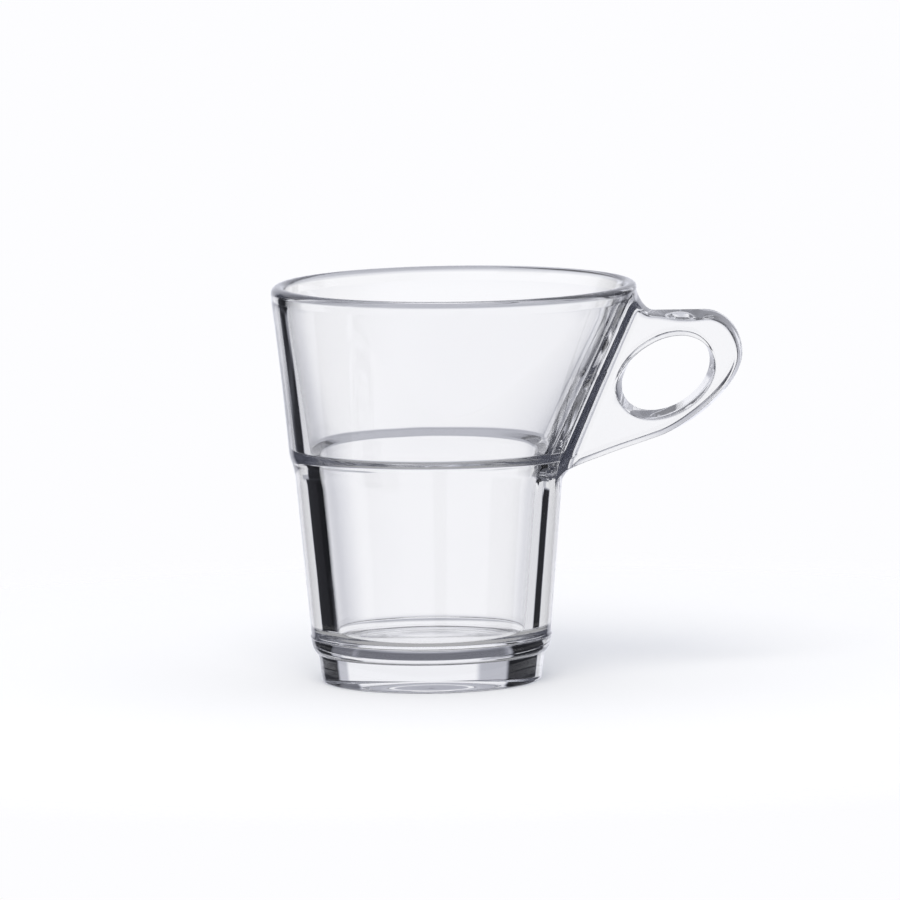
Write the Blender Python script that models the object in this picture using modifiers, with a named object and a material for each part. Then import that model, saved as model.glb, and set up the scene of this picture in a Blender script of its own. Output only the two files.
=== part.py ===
"""Clear pressed-glass espresso cup.

A flared upper bowl leans toward the loop handle and stands on a narrower tapered bowl with a thick floor.
A step outside and a ledge inside let the cups stack. Heights are stacked up from the table, and +X points
from the foot to the handle. The row's origin is the middle of the whole cup's footprint.
"""
import math

import bmesh
import bpy
from mathutils import Matrix

# Foot, in metres: a solid disc under the heel with a shallow hollow beneath it
FOOT_HEIGHT = 0.0048
FOOT_INSET = 0.00113
FOOT_TAPER = 0.0005
FOOT_CORNER = 0.0005
FOOT_REST_WIDTH = 0.0043
FOOT_HOLLOW_DEPTH = 0.0012

# Lower bowl, from the foot's top to the step
LOWER_HEIGHT = 0.0339
LOWER_WALL = 0.00445
LOWER_TOP_RADIUS = 0.0227
SHOULDER_DROP = 0.0042
HEEL_RADIUS = 0.0204
HEEL_BAND = 0.0033
HEEL_ROUND_WIDTH = 0.00125
HEEL_ROUND_HEIGHT = 0.0032
FLOOR_THICKNESS = 0.0029
FLOOR_FILLET = 0.0021

# Upper bowl, from the step to the top of the lip
UPPER_HEIGHT = 0.0291
STEP_OVERHANG = 0.001
STEP_ROUND = 0.0006
LEDGE_RISE = 0.0003
LEDGE_SLOPE = 0.0009
LEDGE_WALL = 0.0034
RIM_RADIUS = 0.03125
RIM_LEAN = 0.0048

# Rounded lip that tops the upper bowl
LIP_HEIGHT = 0.00135
LIP_WALL = 0.0024
LIP_PROUD = 0.0001
LIP_SEAT_ANGLE = 60.0

# Loop handle: outward places count from the rim's edge, and its faces are drafted from the middle plane
HANDLE_THICKNESS = 0.0115
HANDLE_DRAFT = 0.00095
HANDLE_REACH = 0.01767
THUMB_DROP = 0.00495
THUMB_START = 0.0026
THUMB_END = 0.0113
ELBOW_DROP = 0.0074
ARM_OUT = 0.0035
ARM_DROP = 0.02145
ARM_SLOPE = 0.27
ARM_PULL = 0.39
UNDER_PULL = 0.3
ROOT_DROP = 0.0036
ROOT_SLOPE = 0.53
ROOT_STRAIGHT = 0.0013
ROOT_BITE = 0.006
FINGER_OUT = 0.0046
FINGER_DROP = 0.0107
FINGER_HALF_LENGTH = 0.00816
FINGER_HALF_WIDTH = 0.00558
FINGER_TILT = math.radians(33.0)

# Seams between the mouldings, and how finely the round faces are drawn
SEAM_GAP = 0.0003
ROUND_PULL = 0.55
TURN_STEPS = 72
ARC_STEPS = 6
STEP_ARC_STEPS = 3
CURVE_STEPS = 10
MERGE_DISTANCE = 0.00001
SHARP_ANGLE = math.radians(30.0)

# Heights and places that follow from the sizes above
STEP_Z = FOOT_HEIGHT + LOWER_HEIGHT
RIM_Z = STEP_Z + UPPER_HEIGHT
LIP_Z = RIM_Z - LIP_HEIGHT
FLOOR_Z = FOOT_HEIGHT + FLOOR_THICKNESS
HEEL_Z = FOOT_HEIGHT + HEEL_BAND
LEDGE_Z = STEP_Z + LEDGE_RISE
THUMB_Z = RIM_Z - THUMB_DROP
STEP_RADIUS = LOWER_TOP_RADIUS + STEP_OVERHANG
WALL_TOP_RADIUS = RIM_RADIUS - LIP_PROUD
LOWER_TAPER = (LOWER_TOP_RADIUS - HEEL_RADIUS) / (STEP_Z - SHOULDER_DROP - HEEL_Z)
FLARE = (WALL_TOP_RADIUS - STEP_RADIUS) / (LIP_Z - STEP_Z)
LEAN = RIM_LEAN / UPPER_HEIGHT
LIP_LEAN = LEAN * (LIP_Z + LIP_HEIGHT / 2 - STEP_Z)
RIM_EDGE_X = LIP_LEAN + RIM_RADIUS
BACK_EDGE_X = min(LIP_LEAN - RIM_RADIUS, -STEP_RADIUS)
FOOT_X = -(RIM_EDGE_X + HANDLE_REACH + BACK_EDGE_X) / 2


def clear_scene():
    """Remove every object that the file starts with."""
    for item in list(bpy.data.objects):
        bpy.data.objects.remove(item, do_unlink=True)


def new_collection(name):
    """Add a collection to the scene."""
    collection = bpy.data.collections.new(name)
    bpy.context.scene.collection.children.link(collection)
    return collection


def glass(name, tint):
    """Return a clear polished glass with a slight tint."""
    material = bpy.data.materials.new(name)
    material.use_nodes = True
    shader = material.node_tree.nodes["Principled BSDF"]
    shader.inputs["Base Color"].default_value = (*tint, 1.0)
    shader.inputs["Roughness"].default_value = 0.03
    shader.inputs["Metallic"].default_value = 0.0
    return material


def arc(centre, radii, start, end, steps=ARC_STEPS):
    """Return points on an ellipse's arc in the radius and height plane, angles in degrees."""
    points = []
    for k in range(steps + 1):
        angle = math.radians(start + (end - start) * k / steps)
        points.append((centre[0] + radii[0] * math.cos(angle), centre[1] + radii[1] * math.sin(angle)))
    return points


def lower_radius(height):
    """Return the radius of the lower bowl's tapered outside, carried on straight above and below it."""
    return HEEL_RADIUS + LOWER_TAPER * (height - HEEL_Z)


def upper_radius(height):
    """Return the radius of the upper bowl's flared outside."""
    return STEP_RADIUS + FLARE * (height - STEP_Z)


def shoulder(grown=0.0):
    """Return the hollow sweep from the step in to the lower bowl's wall, a parabola from the top down."""
    top = STEP_Z - SEAM_GAP
    points = []
    for k in range(ARC_STEPS + 1):
        share = k / ARC_STEPS
        radius = LOWER_TOP_RADIUS + (STEP_RADIUS - LOWER_TOP_RADIUS) * (1.0 - share) ** 2
        points.append((radius + grown, top - SHOULDER_DROP * share))
    return points


def face_outward(mesh):
    """Turn every face of a closed mesh to point out of it."""
    work = bmesh.new()
    work.from_mesh(mesh)
    bmesh.ops.recalc_face_normals(work, faces=work.faces)
    work.to_mesh(mesh)
    work.free()


def turned(name, profile, collection, about_x=FOOT_X):
    """Turn a profile of (radius, height) points, given from its outer top down, about an upright axis."""
    mesh = bpy.data.meshes.new(name)
    points = [(radius, 0.0, height) for radius, height in profile]
    on_axis = profile[0][0] == 0.0 and profile[-1][0] == 0.0
    edges = [(k, k + 1) for k in range(len(points) - 1)]
    if not on_axis:
        edges.append((len(points) - 1, 0))
    mesh.from_pydata(points, edges, [])
    maker = bpy.data.objects.new(name, mesh)
    collection.objects.link(maker)
    screw = maker.modifiers.new("turn", "SCREW")
    screw.axis = "Z"
    screw.angle = math.tau
    screw.steps = TURN_STEPS
    screw.render_steps = TURN_STEPS
    screw.use_merge_vertices = True
    screw.merge_threshold = MERGE_DISTANCE
    baked = bpy.data.meshes.new_from_object(maker.evaluated_get(bpy.context.evaluated_depsgraph_get()))
    maker.modifiers.remove(screw)
    maker.data = baked
    baked.name = name
    bpy.data.meshes.remove(mesh)
    baked.transform(Matrix.Translation((about_x, 0.0, 0.0)))
    face_outward(baked)
    return maker


def lean(item):
    """Slide each level of a turned piece toward the handle, in step with its height over the step."""
    to_step = Matrix.Translation((0.0, 0.0, -STEP_Z))
    shear = Matrix.Shear("XY", 4, (LEAN, 0.0))
    item.data.transform(to_step.inverted() @ shear @ to_step)


def finish(item, material):
    """Shade a piece's round faces smooth and give it its glass."""
    item.data.shade_smooth()
    item.data.set_sharp_from_angle(angle=SHARP_ANGLE)
    item.data.materials.clear()
    item.data.materials.append(material)


def make_foot(parts):
    """Turn the foot: a short drum with a rounded lower corner, a flat ring to rest on and a shallow hollow."""
    top = FOOT_HEIGHT - SEAM_GAP
    top_radius = HEEL_RADIUS - FOOT_INSET
    corner_centre = (top_radius - FOOT_TAPER - FOOT_CORNER, FOOT_CORNER)
    corner = arc(corner_centre, (FOOT_CORNER, FOOT_CORNER), 0.0, -90.0)
    hollow = arc((0.0, 0.0), (corner_centre[0] - FOOT_REST_WIDTH, FOOT_HOLLOW_DEPTH), 0.0, 90.0)
    profile = [(0.0, top), (top_radius, top)] + corner + hollow[:-1] + [(0.0, FOOT_HOLLOW_DEPTH)]
    foot = turned("foot", profile, parts)
    finish(foot, glass("foot_glass", (0.86, 0.89, 0.92)))


def make_lower_bowl(parts):
    """Turn the lower bowl: shoulder, tapered wall, heel band, thick floor and a well parallel to the wall."""
    top = STEP_Z - SEAM_GAP
    heel_centre = (HEEL_RADIUS - HEEL_ROUND_WIDTH, FOOT_HEIGHT + HEEL_ROUND_HEIGHT)
    heel = arc(heel_centre, (HEEL_ROUND_WIDTH, HEEL_ROUND_HEIGHT), 0.0, -90.0)
    fillet_z = FLOOR_Z + FLOOR_FILLET
    fillet_centre = (lower_radius(fillet_z) - LOWER_WALL - FLOOR_FILLET, fillet_z)
    fillet = arc(fillet_centre, (FLOOR_FILLET, FLOOR_FILLET), -90.0, 0.0)
    inside = [(0.0, FLOOR_Z)] + fillet + [(lower_radius(top) - LOWER_WALL, top)]
    outside = shoulder() + [(HEEL_RADIUS, HEEL_Z)] + heel
    bowl = turned("lower_bowl", inside + outside + [(0.0, FOOT_HEIGHT)], parts)
    finish(bowl, glass("lower_bowl_glass", (0.84, 0.88, 0.91)))


def make_upper_bowl(parts):
    """Turn the upper bowl with its stacking ledge, then lean it toward the handle."""
    top = LIP_Z - SEAM_GAP
    ledge_top = LEDGE_Z + LEDGE_SLOPE
    step_centre = (STEP_RADIUS - STEP_ROUND, STEP_Z + STEP_ROUND)
    step = arc(step_centre, (STEP_ROUND, STEP_ROUND), 0.0, -90.0, STEP_ARC_STEPS)
    profile = [(upper_radius(top), top)] + step
    profile += [(lower_radius(height) - LOWER_WALL, height) for height in (STEP_Z, LEDGE_Z)]
    profile += [(upper_radius(ledge_top) - LEDGE_WALL, ledge_top), (upper_radius(top) - LIP_WALL, top)]
    bowl = turned("upper_bowl", profile, parts)
    lean(bowl)
    finish(bowl, glass("upper_bowl_glass", (0.87, 0.90, 0.92)))


def make_rim_ring(parts):
    """Turn the rounded lip, flat where it seats, about the leaning bowl's own centre."""
    half = (LIP_WALL + LIP_PROUD) / 2
    middle = (RIM_RADIUS - half, LIP_Z + LIP_HEIGHT / 2)
    crown = arc(middle, (half, LIP_HEIGHT / 2), 180.0 + LIP_SEAT_ANGLE, -LIP_SEAT_ANGLE, 2 * ARC_STEPS)
    seat = [(crown[-1][0], LIP_Z), (crown[0][0], LIP_Z)]
    ring = turned("rim_ring", crown + seat, parts, FOOT_X + LIP_LEAN)
    finish(ring, glass("rim_ring_glass", (0.85, 0.88, 0.91)))


def add_outline(curve, corners):
    """Add a closed outline through corners of (point, pull from the last, pull to the next or none)."""
    spline = curve.splines.new("BEZIER")
    spline.bezier_points.add(len(corners) - 1)
    spline.use_cyclic_u = True
    spline.resolution_u = CURVE_STEPS
    for knot, (point, before, after) in zip(spline.bezier_points, corners):
        knot.co = (*point, 0.0)
        knot.handle_left_type = "FREE" if before else "VECTOR"
        knot.handle_right_type = "FREE" if after else "VECTOR"
        if before:
            knot.handle_left = (point[0] + before[0], point[1] + before[1], 0.0)
        if after:
            knot.handle_right = (point[0] + after[0], point[1] + after[1], 0.0)


def handle_outline():
    """Return the handle's outer outline in its middle plane: root, thumb rest, elbow, lower arm, root."""
    root_top = (RIM_EDGE_X, LIP_Z - 2 * SEAM_GAP)
    hollow_top = (root_top[0], root_top[1] - ROOT_STRAIGHT)
    thumb_start = (RIM_EDGE_X + THUMB_START, THUMB_Z)
    thumb_end = (RIM_EDGE_X + THUMB_END, THUMB_Z)
    elbow = (RIM_EDGE_X + HANDLE_REACH, THUMB_Z - ELBOW_DROP)
    arm = (RIM_EDGE_X + ARM_OUT, THUMB_Z - ARM_DROP)
    root_low = (LOWER_TOP_RADIUS, STEP_Z - ROOT_DROP)
    inside_low = (root_low[0] - ROOT_BITE, root_low[1])
    inside_top = (root_top[0] - ROOT_BITE, root_top[1])
    hollow_pull = ROUND_PULL * (hollow_top[1] - THUMB_Z)
    thumb_pull = ROUND_PULL * THUMB_START
    elbow_pull = (ROUND_PULL * (elbow[0] - thumb_end[0]), ROUND_PULL * ELBOW_DROP)
    arm_pull = ARM_PULL * (elbow[0] - arm[0])
    under_pull = UNDER_PULL * (arm[0] - root_low[0])
    return [
        (inside_top, None, None),
        (root_top, None, None),
        (hollow_top, None, (0.0, -hollow_pull)),
        (thumb_start, (-thumb_pull, 0.0), None),
        (thumb_end, None, (elbow_pull[0], 0.0)),
        (elbow, (0.0, elbow_pull[1]), (0.0, -ARM_PULL * (elbow[1] - arm[1]))),
        (arm, (arm_pull, ARM_SLOPE * arm_pull), (-under_pull, -ARM_SLOPE * under_pull)),
        (root_low, (under_pull, ROOT_SLOPE * under_pull), None),
        (inside_low, None, None),
    ]


def finger_hole():
    """Return the tilted oval finger hole in the middle plane as four curve corners."""
    centre = (RIM_EDGE_X + FINGER_OUT, THUMB_Z - FINGER_DROP)
    along = (math.cos(FINGER_TILT), math.sin(FINGER_TILT))
    across = (-along[1], along[0])

    def place(a, b):
        return (
            centre[0] + a * FINGER_HALF_LENGTH * along[0] + b * FINGER_HALF_WIDTH * across[0],
            centre[1] + a * FINGER_HALF_LENGTH * along[1] + b * FINGER_HALF_WIDTH * across[1],
        )

    corners = []
    for a, b in ((1, 0), (0, 1), (-1, 0), (0, -1)):
        point = place(a, b)
        after = place(a - b * ROUND_PULL, b + a * ROUND_PULL)
        pull = (after[0] - point[0], after[1] - point[1])
        corners.append((point, (-pull[0], -pull[1]), pull))
    return corners


def bowl_cutter(cutters):
    """Turn a solid of both bowls' outsides, grown by the seam, that trims the handle's root to the wall."""
    grown = SEAM_GAP / math.cos(math.atan(FLARE + LEAN))
    past_rim = RIM_Z + 2 * LIP_HEIGHT
    low = STEP_Z - LOWER_HEIGHT / 2
    upper = turned(
        "upper_root_cutter",
        [
            (0.0, past_rim),
            (upper_radius(past_rim) + grown, past_rim),
            (STEP_RADIUS + grown, STEP_Z - SEAM_GAP),
            (0.0, STEP_Z - SEAM_GAP),
        ],
        cutters,
    )
    lean(upper)
    above = STEP_Z + SEAM_GAP
    lower_outside = shoulder(SEAM_GAP) + [(lower_radius(low) + SEAM_GAP, low)]
    lower = turned(
        "lower_root_cutter", [(0.0, above), (STEP_RADIUS, above)] + lower_outside + [(0.0, low)], cutters
    )
    for item in (upper, lower):
        item.hide_render = True
        item.display_type = "WIRE"
    return upper, lower


def make_handle(parts, cutters):
    """Draw the handle's outline with its finger hole, draft it to both faces and trim its root to the bowls."""
    curve = bpy.data.curves.new("handle_outline", "CURVE")
    curve.dimensions = "2D"
    curve.fill_mode = "BOTH"
    add_outline(curve, handle_outline())
    add_outline(curve, finger_hole())
    drawing = bpy.data.objects.new("handle_outline", curve)
    cutters.objects.link(drawing)
    mesh = bpy.data.meshes.new_from_object(drawing.evaluated_get(bpy.context.evaluated_depsgraph_get()))
    bpy.data.objects.remove(drawing, do_unlink=True)
    work = bmesh.new()
    work.from_mesh(mesh)
    bmesh.ops.remove_doubles(work, verts=work.verts, dist=MERGE_DISTANCE)
    for face in work.faces:
        if face.normal.z < 0.0:
            face.normal_flip()
    half = HANDLE_THICKNESS / 2
    flat = work.faces[:]
    bmesh.ops.inset_region(
        work, faces=flat, use_boundary=True, use_even_offset=True, thickness=HANDLE_DRAFT, depth=half
    )
    bmesh.ops.delete(work, geom=flat, context="FACES_ONLY")
    loose = [edge for edge in work.edges if not edge.link_faces]
    bmesh.ops.delete(work, geom=loose, context="EDGES")
    face_edges = [edge for edge in work.edges if all(abs(v.co.z - half) < half / 2 for v in edge.verts)]
    bmesh.ops.triangle_fill(work, use_beauty=True, edges=face_edges, normal=(0.0, 0.0, 1.0))
    work.to_mesh(mesh)
    work.free()
    mesh.name = "handle"
    handle = bpy.data.objects.new("handle", mesh)
    parts.objects.link(handle)
    mesh.transform(Matrix.Translation((FOOT_X, 0.0, 0.0)) @ Matrix.Rotation(math.radians(90.0), 4, "X"))
    mirror = handle.modifiers.new("far_half", "MIRROR")
    mirror.use_axis = (False, True, False)
    mirror.use_clip = True
    mirror.merge_threshold = MERGE_DISTANCE
    for cutter in bowl_cutter(cutters):
        trim = handle.modifiers.new("trim_" + cutter.name, "BOOLEAN")
        trim.operation = "DIFFERENCE"
        trim.solver = "EXACT"
        trim.object = cutter
    trimmed = bpy.data.meshes.new_from_object(handle.evaluated_get(bpy.context.evaluated_depsgraph_get()))
    handle.modifiers.clear()
    handle.data = trimmed
    trimmed.name = "handle"
    bpy.data.meshes.remove(mesh)
    finish(handle, glass("handle_glass", (0.88, 0.91, 0.93)))


clear_scene()
cup_parts = new_collection("espresso_cup")
cup_cutters = new_collection("espresso_cup_cutters")
make_foot(cup_parts)
make_lower_bowl(cup_parts)
make_upper_bowl(cup_parts)
make_rim_ring(cup_parts)
make_handle(cup_parts, cup_cutters)
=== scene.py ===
"""Clear pressed-glass espresso cup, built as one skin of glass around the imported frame.

Sizes are in millimetres, counted from the foot's axis and the table, and become metres when a mesh is made.
"""

import math

import bpy
import numpy as np
from mathutils import Matrix


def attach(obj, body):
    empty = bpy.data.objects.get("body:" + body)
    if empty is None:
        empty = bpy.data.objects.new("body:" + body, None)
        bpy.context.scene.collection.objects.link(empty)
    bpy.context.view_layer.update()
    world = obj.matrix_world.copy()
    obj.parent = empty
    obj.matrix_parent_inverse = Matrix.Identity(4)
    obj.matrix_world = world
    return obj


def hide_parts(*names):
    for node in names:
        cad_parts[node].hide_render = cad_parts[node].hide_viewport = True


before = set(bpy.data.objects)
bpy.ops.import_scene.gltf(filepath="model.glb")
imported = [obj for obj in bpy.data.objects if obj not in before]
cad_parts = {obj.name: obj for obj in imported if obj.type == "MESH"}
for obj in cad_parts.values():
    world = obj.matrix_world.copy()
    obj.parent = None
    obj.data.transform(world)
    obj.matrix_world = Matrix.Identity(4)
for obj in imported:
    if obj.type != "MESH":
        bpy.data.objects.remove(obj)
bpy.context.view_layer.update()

MM = 0.001

# The foot's axis in the frame, and the bowl's lean toward the handle above the step
FOOT_AXIS_X = -13.524
STEP_Z = 38.7
RIM_Z = 67.8
LEAN = 0.16495
LEAN_EASE = 0.25

# Foot: the hollow beneath, the rest ring, the drafted side and the small ledge under the heel
HOLLOW_RADIUS = 14.0
HOLLOW_DEPTH = 1.2
FOOT_REST_RADIUS = 18.68
FOOT_CORNER = 0.5
FOOT_RADIUS = 19.27
FOOT_Z = 4.88
FOOT_TOP_CORNER = 0.1
FOOT_TOP_OUT = 0.23
FOOT_TOP_UP = 0.08

# Heel band: part of an upright oval, by its middle, half axes and turn in degrees, and the thin mould line
# above it
HEEL_RADIUS = 20.4
HEEL_Z = 8.1
HEEL_MIDDLE = (19.26, 8.1)
HEEL_ROUND = (1.25, 3.2)
HEEL_TURN = (-76.0, -9.0)
SEAM_Z = 7.78
SEAM_PROUD = 0.2
SEAM_CORNER = 0.12
SEAM_HEIGHT = 0.35
SEAM_TOP_CORNER = 0.3

# Outside of the lower bowl, the shoulder under the step, and the upper bowl
LOWER_TOP_RADIUS = 22.7
LOWER_END_IN = 0.3
LOWER_END_DROP = 3.44
SHOULDER_DROP = 4.2
SHOULDER_LEAD = 0.3
STEP_RADIUS = 23.7
STEP_EASE = 0.35
FLARE = 0.2685
WALL_HOLLOW = 0.15
WALL_STARTS = (0.35, 0.6, 1.2)
WALL_RUN = 2.5
WALL_TOP_Z = 65.0

# Rim and inside of the cup
RIM_RADIUS = 31.25
RIM_OUT = 0.12
RIM_IN = 0.1
RIM_CORNERS = (1.05, 1.15)
LIP_WALL = 2.4
LIP_Z = 65.5
LEDGE_Z = 39.0
LEDGE_OUTER_Z = 39.9
LEDGE_WALL = 3.4
LEDGE_CORNERS = (0.9, 0.6)
LOWER_WALL = 4.45
FLOOR_Z = 7.7
FLOOR_FILLET = 2.1

# Handle: half thickness, draft of its edges, and how soft the edges of its faces are
HANDLE_HALF = 5.75
HANDLE_DRAFT = 0.95
ROOT_SOFT = 2.0
REST_SOFT = 0.55
EDGE_SOFT = 0.4
LOW_SOFT = 0.15
HOLE_SOFT = 0.32
REST_DRAFT = 0.5
REST_DRAFT_X = (37.5, 43.0)
LOW_DRAFT_SHARE = 0.35
LOW_DRAFT_X = (35.0, 47.0)
FREE_GAP = (-0.2, 1.2)

# Finger hole: a tilted oval, with less draft where its wall looks down
HOLE_CENTRE = (40.54, 52.15)
HOLE_LONG = 8.16
HOLE_SHORT = 5.58
HOLE_TILT = math.radians(33.0)
HOLE_TOP_DRAFT = 0.35
HOLE_TOP_TURN = (-0.35, 0.8)
HOLE_STEPS = 361

# Thumb rest, with a shallow scoop, and the loop's outline as cubic curves
THUMB_Z = 62.85
REST_BAND = 1.0
REST_START = (38.7, THUMB_Z)
SCOOP_X = 44.6
SCOOP_REACH = 3.4
SCOOP_INSET = 0.3
LOW_EDGE_Z = 35.93
LOOP_TOP = [(47.24, THUMB_Z), (50.74, THUMB_Z), (53.61, 59.52), (53.61, 55.45)]
LOOP_SIDE = [(53.61, 55.45), (53.61, 49.97), (44.97, 42.89), (39.44, 41.4)]
LOW_EDGE = [(39.44, 41.4), (34.42, 40.04), (28.4, 38.1), (24.3, LOW_EDGE_Z)]

# Softness of the edge and bearing on the finger hole, in degrees, where the outline's runs meet
RUN_SOFT = (ROOT_SOFT, REST_SOFT, EDGE_SOFT, EDGE_SOFT, LOW_SOFT, LOW_SOFT, LOW_SOFT, ROOT_SOFT)
RUN_BEARING = (166.0, 126.0, 62.0, 22.0, -96.0, -150.0, -158.0, -194.0)

# Roots of the handle: how deep they stand in the wall, their fillets, and how they are drawn out along it
ROOT_DEPTH = 1.25
ROOT_SINK = 0.25
ROOT_FILLET = 2.7
ROOT_TURN = 0.97
ROOT_BEND = (1.0, 6.0)
LOW_ROOT_Z = 34.4
LOW_ROOT_SLOPE = 0.1
ROOT_SWEEP = [(35.55, 67.0), (35.75, 65.6), (36.9, THUMB_Z), REST_START]
RISE_DEPTH = 9.0
LOW_SWEEP = 1.54
LOW_SINK = 0.15
LOW_TURN = 0.95
LOW_DROP = 1.8
LOW_SLOPE = 0.53
FALL_DEPTH = 7.0

# How finely the surfaces are drawn
TURN_STEPS = 240
ARC_STEPS = 8
GUARDS = (0.12, 0.45)
GUARD_SHARE = 0.4
RUN_STEP = 2.5
HOLLOW_STEPS = 41
HEEL_STEPS = 22
SHOULDER_STEPS = 16
WALL_STEPS = 14
REST_POINTS = (46, 28)
LOOP_POINTS = (36, 56, 48, 40)
BACK_POINTS = 80
SWEEP_POINTS = 60
SETTLE = 31

# Net of strips on the handle's faces: rows up the drafted wall, rows over the rounded edge, and rows between
WALL_ROWS = [0.0, 0.03, 0.25, 0.5, 0.75]
ROUND_ROWS = 9
MIDDLE_ROWS = 34
MIDDLE_CROWD = 1.4
WALL_SHARE = 0.9
WALL_MARGIN = 0.05
ROUND_MARGIN = 0.1
HOLE_ROUND_SHARE = 1.3
OUTER_MOST = 0.48
HOLE_MOST = 0.44
HOLE_STRETCH = 1.1
SLANT_LEAST = 0.4


def smooth(x, low, high):
    """Ease from 0 at low to 1 at high: 3t^2 - 2t^3 of the clipped share t."""
    t = np.clip((x - low) / (high - low), 0.0, 1.0)
    return t * t * (3.0 - 2.0 * t)


def lower_radius(z):
    """Tapered outside of the lower bowl: a straight line from the heel to the shoulder."""
    taper = (LOWER_TOP_RADIUS - HEEL_RADIUS) / (STEP_Z - SHOULDER_DROP - HEEL_Z)
    return HEEL_RADIUS + taper * (z - HEEL_Z)


def upper_radius(z):
    """Flared outside of the upper bowl: a straight line from the step with a faint hollow halfway up."""
    share = np.clip((z - STEP_Z) / (RIM_Z - STEP_Z), 0.0, 1.0)
    return STEP_RADIUS + FLARE * (z - STEP_Z) - WALL_HOLLOW * np.sin(math.pi * share)


def shoulder_radius(z):
    """Hollow sweep under the step: the lower wall carried on, plus a parabola out to the step's edge."""
    share = np.clip((z - (STEP_Z - SHOULDER_DROP)) / SHOULDER_DROP, 0.0, 1.0)
    return lower_radius(z) + (STEP_RADIUS - lower_radius(STEP_Z)) * share**2


def outside_radius(z):
    """Radius of the cup's outside wall at any height over the heel."""
    low = np.where(z < STEP_Z - SHOULDER_DROP, lower_radius(z), shoulder_radius(z))
    return np.where(z < STEP_Z, low, upper_radius(z))


def axis_x(z):
    """Place of the bowl's axis at a height: still up to the step, then leaning, eased by a soft maximum."""
    over = z - STEP_Z
    return LEAN * 0.5 * (over + np.sqrt(over**2 + LEAN_EASE**2))


def rounded_path(corners):
    """Points along straight runs whose corners become tangent arcs of the given radii, with guard points
    close to both ends of every run, so that the shading of a flat run is not bent by the arc beside it."""
    corners = np.asarray(corners, float)
    points, radii = corners[:, :2], corners[:, 2]
    starts, ends, arcs = [points[0]], [], []
    for k in range(1, len(points) - 1):
        back = points[k - 1] - points[k]
        ahead = points[k + 1] - points[k]
        back = back / np.linalg.norm(back)
        ahead = ahead / np.linalg.norm(ahead)
        half = 0.5 * math.acos(float(np.clip(back @ ahead, -1.0, 1.0)))
        bite = radii[k] / math.tan(half)
        middle = (back + ahead) / np.linalg.norm(back + ahead) * radii[k] / math.sin(half)
        spread = np.linspace(-1.0, 1.0, ARC_STEPS + 1) * (math.pi / 2 - half)
        across = (ahead - back) / np.linalg.norm(ahead - back)
        inward = middle / np.linalg.norm(middle)
        bow = np.outer(np.sin(spread), across) - np.outer(np.cos(spread), inward)
        ends.append(points[k] + back * bite)
        arcs.append(points[k] + middle + radii[k] * bow)
        starts.append(points[k] + ahead * bite)
    ends.append(points[-1])
    path = []
    for k, (start, end) in enumerate(zip(starts, ends)):
        length = np.linalg.norm(end - start)
        guards = [guard for guard in GUARDS if guard < GUARD_SHARE * length]
        pieces = int(length / RUN_STEP) + 1
        inner = np.arange(1, pieces) * length / pieces
        last = [length - guard for guard in guards]
        places = np.unique(np.concatenate([[0.0], guards, inner, last, [length]]))
        path.append(start + (end - start) * (places / length)[:, None])
        if k < len(arcs):
            path.append(arcs[k][1:-1])
    return np.concatenate(path)


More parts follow.
